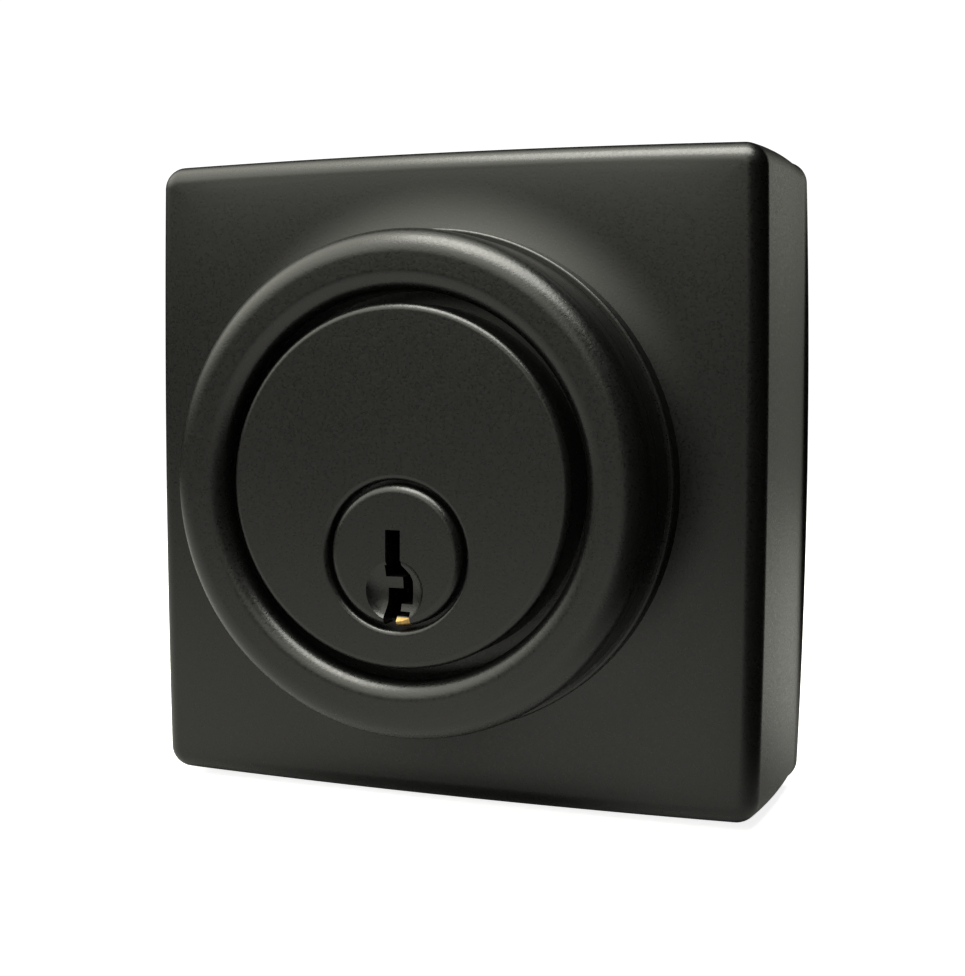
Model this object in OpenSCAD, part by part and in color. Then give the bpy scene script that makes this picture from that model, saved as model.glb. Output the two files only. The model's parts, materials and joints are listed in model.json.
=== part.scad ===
// Outside half of a deadbolt door lock: a square rosette, a raised collar with a
// free-turning guard ring, and a five-pin cylinder that turns a tail blade.
// The door's outer face is the plane y = 0 and the lock stands out from it towards -Y.
// The origin is the centre of the rosette's back.

/* [Rosette] */
// Width and height of the square rosette, in the middle of its sides
rosette_w = 67.2; // [62:0.1:85]
// How far the rosette's face stands out from the door
rosette_depth = 21.3; // [18:0.1:27]
// How far each side bows outwards between its corners
side_bow = 0.35; // [0.1:0.05:1]
// Radius of the corners, seen from the front
corner_r = 2.4; // [2.1:0.1:6]
// Radius that rounds the front edge
edge_r = 2; // [1:0.1:2.1]
// How far the sides flare out at the back, in the middle of each side
lip_proud = 0.25; // [0.1:0.05:0.6]
// Length of the flare at the back
lip_len = 1.3; // [0.5:0.1:2]
// Thickness of the rosette's side walls, inside the bow
wall_t = 2.2; // [1.5:0.1:3]
// Thickness of the rosette's front wall
face_t = 2.4; // [1.6:0.1:3.5]
// Radius of the neck that carries the collar
neck_r = 25.35; // [24.9:0.05:27]
// Height of the neck above the rosette's face
neck_h = 2.6; // [1.5:0.1:4]
// Radius of the four bosses behind the rosette's face
boss_r = 3.5; // [3:0.1:4.5]
// Distance from each boss's axis to the inside of the walls
boss_inset = 4.8; // [4:0.1:7]

/* [Collar and guard ring] */
// Outer radius of the collar's visible sleeve
sleeve_r = 24.7; // [23.8:0.05:24.9]
// Length of the visible sleeve between the neck and the guard ring
sleeve_len = 4; // [2:0.1:7]
// Outer radius of the guard ring
ring_r = 24.85; // [24:0.05:26]
// Length of the guard ring along its axis
ring_len = 4.2; // [3.8:0.1:6]
// Width of the seam between the sleeve and the guard ring
seam_w = 0.3; // [0.2:0.05:0.6]
// Radius of the guard ring's opening
opening_r = 18.9; // [18.2:0.05:19.4]
// Radius that rounds the guard ring's outer front edge
ring_outer_round = 2.5; // [1:0.1:2.8]
// Radius that rounds the guard ring's inner front edge
ring_inner_round = 2; // [0.8:0.1:2.2]
// Radius of the rail that the guard ring turns on
rail_r = 21.6; // [20.8:0.05:22]
// Length of the rail
rail_len = 2; // [1.6:0.1:2.6]
// Radius of the spigot that passes through the rosette
spigot_r = 22.4; // [21.5:0.1:23]
// Thickness of the web that the cylinder's head seats on
web_t = 3; // [2:0.1:4.5]
// Radial depth of the retaining wire in the rail
wire_depth = 0.65; // [0.4:0.05:0.9]
// Radial height of the retaining wire above the rail
wire_proud = 0.6; // [0.3:0.05:0.8]
// Thickness of the retaining wire along the axis
wire_t = 0.5; // [0.3:0.05:0.8]

/* [Cylinder] */
// Radius of the round face of the cylinder body
head_r = 17.65; // [17.3:0.05:18.1]
// Thickness of the cylinder body's head
head_t = 5.3; // [4:0.1:7]
// How far the head's face sits behind the front of the guard ring
face_recess = 0.1; // [0:0.05:0.8]
// Height of the plug's axis above the middle of the lock
plug_z = -6.6; // [-7:0.1:-5.8]
// Radius of the plug
plug_r = 6.35; // [5.4:0.05:6.6]
// Radius of the plug's front flange
flange_r = 6.9; // [6.8:0.05:7.2]
// Thickness of the plug's front flange
flange_t = 1.8; // [1.2:0.1:2.4]
// How far the plug's face stands out from the head's face
plug_proud = 0.2; // [0:0.05:0.6]
// Radius of the barrel behind the head
barrel_r = 9.5; // [9:0.1:10.5]
// Width of the bible, the block above the barrel that holds the springs
bible_w = 10.4; // [8:0.1:12]
// Height of the bible above the plug's axis
bible_h = 18.2; // [16.5:0.1:19.5]
// Sideways distance of the two screw lugs from the middle
lug_x = 12.2; // [11.8:0.1:12.6]
// Height of the screw lugs above the middle of the lock
lug_z = -5; // [-6:0.1:-4]
// Radius of the screw lugs
lug_r = 3.9; // [3.2:0.1:4.2]

/* [Pins] */
// Number of pin chambers
pin_count = 5; // [4:1:5]
// Distance between neighbouring pin chambers
pin_pitch = 3.81; // [3.6:0.01:4]
// Distance from the plug's shoulder back to the first chamber
pin_first = 6.27; // [5.5:0.01:6.6]
// Radius of the pins
pin_r = 1.46; // [1.2:0.01:1.6]
// Length of each key pin, from the front
key_pin_lens = [4.6, 5.8, 5, 6.2, 5.4];
// Length of the driver pins
driver_len = 4.8; // [3.5:0.1:5.5]
// Height above the plug's axis at which a key pin stops when the key is out
ledge_z = -1.2; // [-1.6:0.1:-0.6]
// Turns of each pin spring
spring_turns = 7; // [5:1:9]
// Radius of the pin springs, to the middle of the wire
spring_r = 1.1; // [0.8:0.05:1.2]
// Radius of the spring wire
spring_wire_r = 0.16; // [0.1:0.01:0.2]
// Thickness of the strip that closes the spring chambers
cover_t = 0.9; // [0.6:0.1:1.4]
// Width of the strip that closes the spring chambers
cover_w = 6.2; // [4.5:0.1:7]

/* [Plate and fasteners] */
// Thickness of the backing plate
plate_t = 2.3; // [1.8:0.1:3.2]
// How far the backing plate sits inside the rosette's back
plate_inset = 0.3; // [0.1:0.1:1]
// Distance between the two through bolts
bolt_spacing = 38.1; // [37:0.1:41]
// Radius of the mounting posts
post_r = 3.9; // [3.4:0.1:4.3]
// Length of the mounting posts behind the plate
post_len = 24; // [16:1:32]
// Radius of the threaded holes in the mounting posts
post_hole_r = 2.1; // [1.6:0.05:2.6]
// Depth of the threaded holes in the mounting posts
post_hole_len = 16; // [10:1:22]
// Radius of the screws that hold the cylinder body
body_screw_r = 2; // [1.5:0.05:2.2]
// Head radius of the screws that hold the cylinder body
body_screw_head_r = 3.4; // [2.8:0.1:3.7]
// Radius of the screws that hold the rosette
corner_screw_r = 1.5; // [1.1:0.05:1.8]

/* [Tail] */
// Length of the tail blade behind the door's outer face
blade_len = 58; // [40:1:75]
// Width of the tail blade
blade_w = 7; // [5:0.1:7.6]
// Thickness of the tail blade
blade_t = 2.3; // [1.6:0.1:2.8]
// Radius of the pocket in the plug that drives the tail blade
pocket_r = 4.6; // [4.2:0.05:4.9]
// Radius of the threaded stub at the back of the plug
stub_r = 5.6; // [5.4:0.05:5.8]
// Outer radius of the plug cap
cap_r = 7.9; // [7.2:0.1:8.2]

/* [Clearances] */
// Radial clearance of the plug, the plug cap and the guard ring where they turn
run_clear = 0.05; // [0.03:0.01:0.08]
// Radial clearance of the pins in their chambers
pin_clear = 0.04; // [0.02:0.01:0.08]
// Clearance between fixed pieces that fit into each other
fit_clear = 0.1; // [0.05:0.01:0.2]
// Clearance around pieces that only pass through a hole
free_clear = 0.3; // [0.2:0.05:0.5]
// End play of pieces that turn
end_play = 0.1; // [0.05:0.01:0.2]

/* [Hidden] */
$fn = 96;

satin_black = [0.07, 0.07, 0.068];
brass = [0.78, 0.6, 0.28];
steel = [0.62, 0.63, 0.64];
eps = 0.01;

// Distances forward of the door's face, from the back of the lock to its front
plate_front = plate_inset + plate_t;
boss_back = plate_front;
cavity_front = rosette_depth - face_t;
neck_front = rosette_depth + neck_h;
sleeve_front = neck_front + sleeve_len;
ring_back = sleeve_front + seam_w;
ring_front = ring_back + ring_len;
rail_front = sleeve_front + rail_len;
lip_back = rail_front + free_clear;
head_front = ring_front - face_recess;
head_back = head_front - head_t;
web_back = head_back - web_t;
spigot_back = min(cavity_front, web_back);
barrel_gap = 2;
barrel_back = plate_front + barrel_gap;
plug_face = head_front + plug_proud;
plug_shoulder = plug_face - flange_t;
plug_back = barrel_back - end_play;
stub_len = 3.6;
stub_back = plug_back - stub_len;

// Rosette
lip_edge = 0.3;
cavity_w = rosette_w - 2 * (wall_t + side_bow);
cavity_corner_r = 1.5;
boss_at = cavity_w / 2 - boss_inset;
rosette_hole_r = spigot_r + fit_clear;
neck_fillet = 0.8;
neck_edge = 0.4;
corner_screw_len = 9;

// Guard ring and its wire
ring_bore_r = rail_r + run_clear;
ring_back_edge = 0.55;
sleeve_edge = 0.35;
wire_mid = sleeve_front + rail_len / 2;
wire_gap = 6;

// Cylinder body
bore_r = plug_r + run_clear;
flange_gap = 0.4;
flange_bore_r = flange_r + flange_gap;
flange_chamfer = 0.55;
flange_edge_r = 0.85;
head_edge_r = 0.7;
bible_top = plug_z + bible_h;
chamber_r = pin_r + pin_clear;
function pin_at(i) = plug_shoulder - pin_first - (i - 1) * pin_pitch;
cover_margin = 1;
cover_front = min(pin_at(1) + chamber_r + cover_margin, head_back - eps);
cover_back = pin_at(pin_count) - chamber_r - cover_margin;
cover_bottom = bible_top - cover_t;
guard_pin_r = 1.5;
guard_pin_x = 6.8;
guard_pin_z = 2.6;
guard_pin_skin = 1.5;
guard_pin_len = head_t - guard_pin_skin;
lug_web_h = 5;

// Pins: they stand at the shear line, with the plug free to turn
pin_gap = 0.15;
pin_sink = 0.03;
shear_z = plug_z + sqrt(plug_r * plug_r - pin_r * pin_r) - pin_sink;
driver_bottom = plug_z + bore_r + pin_gap;
driver_top = driver_bottom + driver_len;
pin_tip_r = 0.5;
pin_tip_h = 1.1;
pin_edge = 0.15;

// Keyway, drawn from the front, about the plug's axis
keyway_back = 6.5;
keyway_outline = [
    [-0.95, 2.5], [0.6, 2.5], [0.6, -0.9], [1.45, -1.8], [1.7, -2.4], [1.7, -4.7],
    [0.45, -4.7], [0.45, -5.4], [1.5, -5.4], [1.5, -5.85], [0.15, -5.85], [0.15, -8],
    [-1.25, -8], [-1.2, -5.8], [-0.95, -4.6], [-0.95, -3.2], [0.6, -3.2], [0.6, -2.1],
    [-1.15, -2.1], [-1.15, -0.95], [-0.95, -0.95]
];
dish_r = 3;
dish_depth = 0.9;
dish_z = -3.4;
dish_ball_r = (dish_r * dish_r + dish_depth * dish_depth) / (2 * dish_depth);
dish_top_z = -0.2;
dish_top_tilt = 30;
dish_top_half_angle = 48;
dish_top_len = 1.6;

// Plug cap and tail blade
cap_front = plug_back - end_play / 2;
tail_head_t = 1.1;
tail_head_front = stub_back - end_play / 2;
tail_head_back = tail_head_front - tail_head_t;
cap_lip_front = tail_head_back - end_play / 2;
cap_lip_t = 1.3;
cap_back = cap_lip_front - cap_lip_t;
cap_bore_r = stub_r + run_clear;
cap_overhang = 0.2;
cap_opening_r = pocket_r - cap_overhang;
cap_edge = 0.4;
tail_head_r = cap_bore_r - fit_clear;
tang_r = pocket_r - fit_clear;
tang_len = 1.9;
pocket_len = tang_len + end_play;
blade_tip = 1.2;

// Backing plate and fasteners
plate_w = cavity_w - 2 * free_clear;
plate_corner_r = cavity_corner_r + free_clear;
cap_gap = 0.9;
plate_hole_r = cap_r + cap_gap;
post_at = bolt_spacing / 2;
post_shoulder = 1;
post_spigot_r = post_r - post_shoulder;
post_collar_h = 0.8;
post_edge = 0.5;
body_screw_len = 9;
body_screw_head_h = 1.7;
body_screw_chamfer = 0.6;
screw_hole_extra = 0.5;
corner_head_r = 2 * corner_screw_r;
corner_head_h = corner_head_r - corner_screw_r;

// Turns a shape drawn from the front, with its depth along +Z, to face away from the door.
module facing_front() {
    rotate([90, 0, 0]) children();
}

// A disc or tube section between two distances in front of the door.
module bar(r, back, front) {
    translate([0, 0, back]) cylinder(r = r, h = front - back);
}

// Repeats a shape at both sides of the lock.
module both_sides(x, z) {
    for (side = [-1, 1]) translate([side * x, z, 0]) children();
}

// Repeats a shape in the four corners of the rosette.
module in_corners(at) {
    for (x = [-1, 1], z = [-1, 1]) translate([x * at, z * at, 0]) children();
}

// A square with rounded corners, made of true arcs.
module rounded_square(w, r) {
    square([w, w - 2 * r], center = true);
    square([w - 2 * r, w], center = true);
    in_corners(w / 2 - r) circle(r);
}

// Thirteen points along an arc about a centre, from one angle to another.
function arc_points(cx, cy, r, from, to) = [
    for (k = [0:12]) let (a = from + (to - from) * k / 12) [cx + r * cos(a), cy + r * sin(a)]
];

// Repeats a shape along the rosette's four sides, which bow outwards between the corners.
module along_sides(bow) {
    reach = rosette_w / 2 - side_bow;
    for (turn = [0:90:270], share = [-1:0.5:1]) rotate([0, 0, turn])
        translate([share * (reach - corner_r), reach + bow * (1 - share * share), 0]) children();
}

// Upright round posts along the sides, which a hull joins into one layer of the rosette.
module side_posts(bow, h) {
    along_sides(bow) translate([0, -corner_r, 0]) cylinder(r = corner_r, h = h, $fn = 32);
}

// The rosette's outside: bowed sides, a rounded front edge and a slight flare at the back.
module rosette_outside() {
    hull() {
        along_sides(side_bow) translate([0, -edge_r, rosette_depth - edge_r])
            sphere(edge_r, $fn = 32);
        side_posts(side_bow, eps);
        in_corners(rosette_w / 2 - side_bow - corner_r)
            cylinder(r = corner_r, h = rosette_depth - edge_r, $fn = 32);
    }
    hull() {
        side_posts(side_bow, lip_len);
        side_posts(side_bow + lip_proud, lip_edge);
    }
}

// The neck of the rosette, with its small fillet at the foot.
module neck_ring() {
    rotate_extrude() polygon(concat(
        [[rosette_hole_r, cavity_front], [neck_r, cavity_front]],
        [[neck_r + neck_fillet, rosette_depth]],
        arc_points(neck_r + neck_fillet, rosette_depth + neck_fillet, neck_fillet, 270, 180),
        arc_points(neck_r - neck_edge, neck_front - neck_edge, neck_edge, 0, 90),
        [[rosette_hole_r, neck_front]]
    ));
}

module rosette() {
    color(satin_black) facing_front() {
        difference() {
            rosette_outside();
            translate([0, 0, -eps]) linear_extrude(cavity_front + eps)
                rounded_square(cavity_w, cavity_corner_r);
            bar(rosette_hole_r, 0, rosette_depth + 1);
        }
        neck_ring();
        in_corners(boss_at) difference() {
            bar(boss_r, boss_back, cavity_front + eps);
            bar(corner_screw_r, boss_back - 1, plate_inset + corner_screw_len + screw_hole_extra);
        }
    }
}

// Outline of the barrel, the bible and the two screw lugs, seen from the front.
module barrel_outline(grow = 0) {
    translate([0, plug_z]) circle(barrel_r + grow);
    translate([-bible_w / 2 - grow, plug_z]) square([bible_w + 2 * grow, bible_h + grow]);
    both_sides(lug_x, lug_z) circle(lug_r + grow);
    translate([-lug_x, lug_z - lug_web_h / 2 - grow]) square([2 * lug_x, lug_web_h + 2 * grow]);
}

// Groove or wire around the rail, between two radii.
module rail_wire(inner_r, outer_r, t) {
    difference() {
        bar(outer_r, wire_mid - t / 2, wire_mid + t / 2);
        bar(inner_r, wire_mid - t, wire_mid + t);
    }
}

module guard_collar() {
    color(satin_black) facing_front() difference() {
        union() {
            bar(spigot_r, spigot_back, neck_front + eps);
            rotate_extrude() polygon([
                [0, neck_front], [sleeve_r, neck_front], [sleeve_r, sleeve_front - sleeve_edge],
                [sleeve_r - sleeve_edge, sleeve_front], [0, sleeve_front]
            ]);
            bar(rail_r, sleeve_front - eps, rail_front);
        }
        bar(opening_r, head_back, rail_front + 1);
        bar(opening_r, spigot_back - 1, web_back);
        translate([0, 0, web_back - 1]) linear_extrude(web_t + 2) barrel_outline(free_clear);
        rail_wire(rail_r - wire_depth - run_clear, rail_r + 1, wire_t + 2 * fit_clear);
    }
}

module guard_ring() {
    outer_at = ring_r - ring_outer_round;
    inner_at = opening_r + ring_inner_round;
    color(satin_black) facing_front() difference() {
        rotate_extrude() polygon(concat(
            [[ring_bore_r, ring_back], [ring_r - ring_back_edge, ring_back]],
            [[ring_r, ring_back + ring_back_edge]],
            arc_points(outer_at, ring_front - ring_outer_round, ring_outer_round, 0, 90),
            arc_points(inner_at, ring_front - ring_inner_round, ring_inner_round, 90, 180),
            [[opening_r, lip_back], [ring_bore_r, lip_back]]
        ));
        rail_wire(rail_r - 1, rail_r + wire_proud + fit_clear, wire_t + 2 * fit_clear);
    }
}

// An open wire ring that snaps into the rail and keeps the guard ring on.
module ring_retainer() {
    color(steel) facing_front() difference() {
        rail_wire(rail_r - wire_depth, rail_r + wire_proud, wire_t);
        translate([-wire_gap / 2, -rail_r - 2, wire_mid - 1]) cube([wire_gap, 6, 2]);
    }
}

// Places a shape at the axis of a pin chamber, in the door's frame.
module at_pin(i) {
    translate([0, -pin_at(i), 0]) children();
}

module cylinder_body() {
    color(satin_black) difference() {
        facing_front() difference() {
            union() {
                rotate_extrude() polygon(concat(
                    [[0, head_back], [head_r, head_back]],
                    arc_points(head_r - head_edge_r, head_front - head_edge_r, head_edge_r, 0, 90),
                    [[0, head_front]]
                ));
                translate([0, 0, barrel_back]) linear_extrude(head_back - barrel_back + eps)
                    barrel_outline();
                both_sides(lug_x, lug_z) bar(lug_r, plate_front, head_back + eps);
            }
            translate([0, plug_z, 0]) {
                bar(bore_r, barrel_back - 1, head_front + 1);
                bar(flange_bore_r, plug_shoulder - end_play, head_front + 1);
                translate([0, 0, head_front - flange_chamfer])
                    cylinder(r1 = flange_bore_r, r2 = flange_bore_r + 2 * flange_chamfer,
                             h = 2 * flange_chamfer);
            }
            both_sides(lug_x, lug_z)
                bar(body_screw_r, plate_front - 1, plate_inset + body_screw_len + screw_hole_extra);
            both_sides(guard_pin_x, guard_pin_z)
                bar(guard_pin_r, head_back - 1, head_back + guard_pin_len);
            translate([-cover_w / 2 - fit_clear, cover_bottom, cover_back - fit_clear])
                cube([cover_w + 2 * fit_clear, cover_t + 1, cover_front - cover_back + fit_clear]);
        }
        for (i = [1:pin_count]) at_pin(i)
            translate([0, 0, plug_z]) cylinder(r = chamber_r, h = bible_h + 1);
    }
}

// The lost-motion pocket: the tail blade may turn a quarter turn before the plug drives it.
module pocket_outline() {
    bar_w = blade_t + 2 * fit_clear;
    intersection() {
        circle(pocket_r);
        union() {
            square([bar_w, 3 * pocket_r], center = true);
            square([3 * pocket_r, bar_w], center = true);
            translate([-2 * pocket_r, 0]) square(2 * pocket_r);
            translate([0, -2 * pocket_r]) square(2 * pocket_r);
        }
    }
}

// The teardrop dish that guides a key into the keyway.
module keyway_dish() {
    translate([0, dish_z, plug_face + dish_ball_r - dish_depth]) sphere(dish_ball_r);
    translate([0, dish_top_z, plug_face]) rotate([90 - dish_top_tilt, 0, 0])
        cylinder(r1 = 0, r2 = dish_top_len * tan(dish_top_half_angle), h = dish_top_len);
}

module plug() {
    color(brass) difference() {
        facing_front() translate([0, plug_z, 0]) difference() {
            union() {
                rotate_extrude() polygon(concat(
                    [[0, plug_shoulder], [flange_r, plug_shoulder]],
                    arc_points(flange_r - flange_edge_r, plug_face - flange_edge_r, flange_edge_r, 0, 90),
                    [[0, plug_face]]
                ));
                bar(plug_r, plug_back, plug_shoulder + eps);
                bar(stub_r, stub_back, plug_back + eps);
            }
            translate([0, 0, keyway_back]) linear_extrude(plug_face) polygon(keyway_outline);
            keyway_dish();
            translate([0, 0, stub_back - 1]) linear_extrude(pocket_len + 1) pocket_outline();
        }
        for (i = [1:pin_count]) at_pin(i)
            translate([0, 0, plug_z + ledge_z]) cylinder(r = chamber_r, h = 2 * plug_r);
    }
}

// A key pin: pointed below, its top just under the plug's surface.
module key_pin(i) {
    len = key_pin_lens[i - 1];
    color(brass) at_pin(i) translate([0, 0, shear_z - len]) rotate_extrude() polygon([
        [0, 0], [pin_tip_r, 0], [pin_r, pin_tip_h], [pin_r, len - pin_edge],
        [pin_r - pin_edge, len], [0, len]
    ]);
}

// A driver pin: a plain slug that rests just above the plug.
module driver_pin(i) {
    color(steel) at_pin(i) translate([0, 0, driver_bottom]) rotate_extrude() polygon([
        [0, 0], [pin_r - pin_edge, 0], [pin_r, pin_edge], [pin_r, driver_len - pin_edge],
        [pin_r - pin_edge, driver_len], [0, driver_len]
    ]);
}

// A pin spring: one wire swept along a helix from the driver pin up to the cover.
module pin_spring(i) {
    steps = 12;
    sides = 6;
    rings = spring_turns * steps;
    low = driver_top + spring_wire_r;
    rise = cover_bottom - driver_top - 2 * spring_wire_r;
    points = [
        for (k = [0:rings], j = [0:sides - 1])
            let (a = 360 * k / steps, b = 360 * j / sides, r = spring_r + spring_wire_r * cos(b))
            [r * cos(a), r * sin(a), low + rise * k / rings + spring_wire_r * sin(b)]
    ];
    walls = [
        for (k = [0:rings - 1], j = [0:sides - 1])
            let (n = (j + 1) % sides)
            [k * sides + j, (k + 1) * sides + j, (k + 1) * sides + n, k * sides + n]
    ];
    ends = [
        [for (j = [0:sides - 1]) j],
        [for (j = [sides - 1:-1:0]) rings * sides + j]
    ];
    color(steel) at_pin(i) polyhedron(points, concat(walls, ends));
}

module spring_cover() {
    color(brass) facing_front() translate([-cover_w / 2, cover_bottom, cover_back])
        cube([cover_w, cover_t, cover_front - cover_back - fit_clear]);
}

// Two hardened pins in the head that stop a drill.
module drill_guard_pins() {
    color(steel) facing_front() both_sides(guard_pin_x, guard_pin_z)
        bar(guard_pin_r, head_back + fit_clear, head_back + guard_pin_len);
}

module plug_cap() {
    color(brass) facing_front() translate([0, plug_z, 0]) difference() {
        rotate_extrude() polygon([
            [0, cap_back], [cap_r - cap_edge, cap_back], [cap_r, cap_back + cap_edge],
            [cap_r, cap_front - cap_edge], [cap_r - cap_edge, cap_front], [0, cap_front]
        ]);
        bar(cap_bore_r, cap_lip_front, cap_front + 1);
        bar(cap_opening_r, cap_back - 1, cap_front);
    }
}

// The tail blade: a round head held by the cap, a tang in the plug and a long flat blade.
module tail_blade() {
    color(steel) facing_front() translate([0, plug_z, 0]) {
        bar(tail_head_r, tail_head_back, tail_head_front);
        translate([0, 0, tail_head_front - eps]) linear_extrude(tang_len + eps) intersection() {
            circle(tang_r);
            square([blade_t, 2 * tang_r], center = true);
        }
        rotate([0, -90, 0]) translate([0, 0, -blade_t / 2]) linear_extrude(blade_t) polygon([
            [tail_head_front - eps, -blade_w / 2], [tail_head_front - eps, blade_w / 2],
            [blade_tip - blade_len, blade_w / 2], [-blade_len, blade_w / 2 - blade_tip],
            [-blade_len, blade_tip - blade_w / 2], [blade_tip - blade_len, -blade_w / 2]
        ]);
    }
}

module backing_plate() {
    color(steel) facing_front() difference() {
        translate([0, 0, plate_inset]) linear_extrude(plate_t)
            rounded_square(plate_w, plate_corner_r);
        translate([0, plug_z, 0]) bar(plate_hole_r, 0, plate_front + 1);
        both_sides(lug_x, lug_z) bar(body_screw_r + fit_clear, 0, plate_front + 1);
        both_sides(post_at, 0) bar(post_spigot_r, 0, plate_front + 1);
        in_corners(boss_at) {
            bar(corner_screw_r + fit_clear, 0, plate_front + 1);
            translate([0, 0, plate_inset - eps])
                cylinder(r1 = corner_head_r + fit_clear, r2 = corner_screw_r + fit_clear,
                         h = corner_head_h);
        }
    }
}

// Two threaded posts, riveted into the backing plate, for the through bolts.
module mounting_posts() {
    color(steel) facing_front() both_sides(post_at, 0) difference() {
        union() {
            rotate_extrude() polygon([
                [0, -post_len], [post_r - post_edge, -post_len], [post_r, post_edge - post_len],
                [post_r, plate_inset], [0, plate_inset]
            ]);
            bar(post_spigot_r, plate_inset - eps, plate_front + eps);
            bar(post_r, plate_front, plate_front + post_collar_h);
        }
        bar(post_hole_r, -post_len - 1, post_hole_len - post_len);
    }
}

module body_screws() {
    color(steel) facing_front() both_sides(lug_x, lug_z) difference() {
        union() {
            bar(body_screw_r, plate_inset - eps, plate_inset + body_screw_len);
            rotate_extrude() polygon([
                [0, plate_inset - body_screw_head_h],
                [body_screw_head_r - body_screw_chamfer, plate_inset - body_screw_head_h],
                [body_screw_head_r, plate_inset - body_screw_head_h + body_screw_chamfer],
                [body_screw_head_r, plate_inset], [0, plate_inset]
            ]);
        }
        cross_slot(plate_inset - body_screw_head_h, body_screw_head_r);
    }
}

// A cross recess, cut forwards into a screw head of a given radius.
module cross_slot(back, head_r) {
    reach = 1.1 * head_r;
    for (turn = [0, 90]) rotate([0, 0, turn])
        translate([-reach / 2, -reach / 8, back - 1]) cube([reach, reach / 4, 1 + head_r / 4]);
}

module plate_screws() {
    color(steel) facing_front() in_corners(boss_at) difference() {
        union() {
            bar(corner_screw_r, plate_inset, plate_inset + corner_screw_len);
            translate([0, 0, plate_inset])
                cylinder(r1 = corner_head_r, r2 = corner_screw_r, h = corner_head_h);
        }
        cross_slot(plate_inset, corner_head_r);
    }
}

rosette();
guard_collar();
guard_ring();
ring_retainer();
cylinder_body();
plug();
key_pin(1);  // key_pin_1
key_pin(2);  // key_pin_2
key_pin(3);  // key_pin_3
key_pin(4);  // key_pin_4
key_pin(5);  // key_pin_5
driver_pin(1);  // driver_pin_1
driver_pin(2);  // driver_pin_2
driver_pin(3);  // driver_pin_3
driver_pin(4);  // driver_pin_4
driver_pin(5);  // driver_pin_5
pin_spring(1);  // pin_spring_1
pin_spring(2);  // pin_spring_2
pin_spring(3);  // pin_spring_3
pin_spring(4);  // pin_spring_4
pin_spring(5);  // pin_spring_5
spring_cover();
drill_guard_pins();
plug_cap();
tail_blade();
backing_plate();
mounting_posts();
body_screws();
plate_screws();
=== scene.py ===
"""Looks of the outside half of a deadbolt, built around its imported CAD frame.

Lengths in the tables and helpers are millimetres. A point is given by x to the right, z up, and
s, its distance in front of the door's face; point() turns that into the frame's metres.
"""
import json
import math

import bpy
import bmesh
from mathutils import Matrix, Vector


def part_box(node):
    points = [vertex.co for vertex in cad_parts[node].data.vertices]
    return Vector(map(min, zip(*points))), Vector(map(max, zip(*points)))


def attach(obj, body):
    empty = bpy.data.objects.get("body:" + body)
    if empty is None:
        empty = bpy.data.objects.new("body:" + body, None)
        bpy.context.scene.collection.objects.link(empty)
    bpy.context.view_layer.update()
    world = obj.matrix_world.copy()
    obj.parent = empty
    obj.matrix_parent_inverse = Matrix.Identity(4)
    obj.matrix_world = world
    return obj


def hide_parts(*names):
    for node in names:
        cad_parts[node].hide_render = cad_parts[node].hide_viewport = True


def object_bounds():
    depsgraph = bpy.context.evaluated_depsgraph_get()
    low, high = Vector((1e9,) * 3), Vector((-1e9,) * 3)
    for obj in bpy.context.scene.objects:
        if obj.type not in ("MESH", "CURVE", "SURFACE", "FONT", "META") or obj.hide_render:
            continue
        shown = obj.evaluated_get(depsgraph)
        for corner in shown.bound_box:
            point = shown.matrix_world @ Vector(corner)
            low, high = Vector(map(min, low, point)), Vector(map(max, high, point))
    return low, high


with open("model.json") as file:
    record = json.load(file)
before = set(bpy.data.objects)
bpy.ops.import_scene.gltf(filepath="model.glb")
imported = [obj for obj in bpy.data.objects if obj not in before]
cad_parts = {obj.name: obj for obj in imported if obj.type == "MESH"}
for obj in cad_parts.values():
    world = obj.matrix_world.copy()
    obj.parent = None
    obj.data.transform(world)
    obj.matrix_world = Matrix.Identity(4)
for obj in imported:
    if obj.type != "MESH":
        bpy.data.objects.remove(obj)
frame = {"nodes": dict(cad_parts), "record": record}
cad_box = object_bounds()

MM = 0.001
ROUND = 192          # points round a full circle
SMOOTH_ANGLE = math.radians(32)
CUT = 1              # how far a cutting tool runs past the surface
WELD = 0.5           # how far solids that are joined run into each other


# ---------------------------------------------------------------- sizes, from the frame
def edges_of(node):
    """Lowest and highest x, z and s of a CAD node, in millimetres."""
    low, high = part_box(node)
    return {
        "x": (low.x / MM, high.x / MM),
        "z": (low.z / MM, high.z / MM),
        "s": (-high.y / MM, -low.y / MM),
    }


rosette_box = edges_of("rosette")
collar_box = edges_of("guard_collar")
ring_box = edges_of("guard_ring")
body_box = edges_of("cylinder_body")
plug_box = edges_of("plug")

NECK_H, RAIL_LEN, LUG_STEP = 2.6, 2.0, 2.0

half_w = rosette_box["x"][1]
neck_front = rosette_box["s"][1]
face_s = neck_front - NECK_H
sleeve_r = collar_box["x"][1]
sleeve_front = collar_box["s"][1] - RAIL_LEN
ring_r = ring_box["x"][1]
ring_back, ring_front = ring_box["s"]
head_r = body_box["x"][1]
head_front = body_box["s"][1]
plug_z = (plug_box["z"][0] + plug_box["z"][1]) / 2
plug_flange_r = plug_box["x"][1]
plug_back, plug_face = plug_box["s"]


# ---------------------------------------------------------------- mesh helpers
def point(x, z, s):
    return Vector((x * MM, -s * MM, z * MM))


def new_object(name, bm):
    """Makes an object of a bmesh, with its normals turned outwards."""
    bmesh.ops.recalc_face_normals(bm, faces=bm.faces)
    mesh = bpy.data.meshes.new(name)
    bm.to_mesh(mesh)
    bm.free()
    obj = bpy.data.objects.new(name, mesh)
    bpy.context.scene.collection.objects.link(obj)
    return obj


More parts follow.
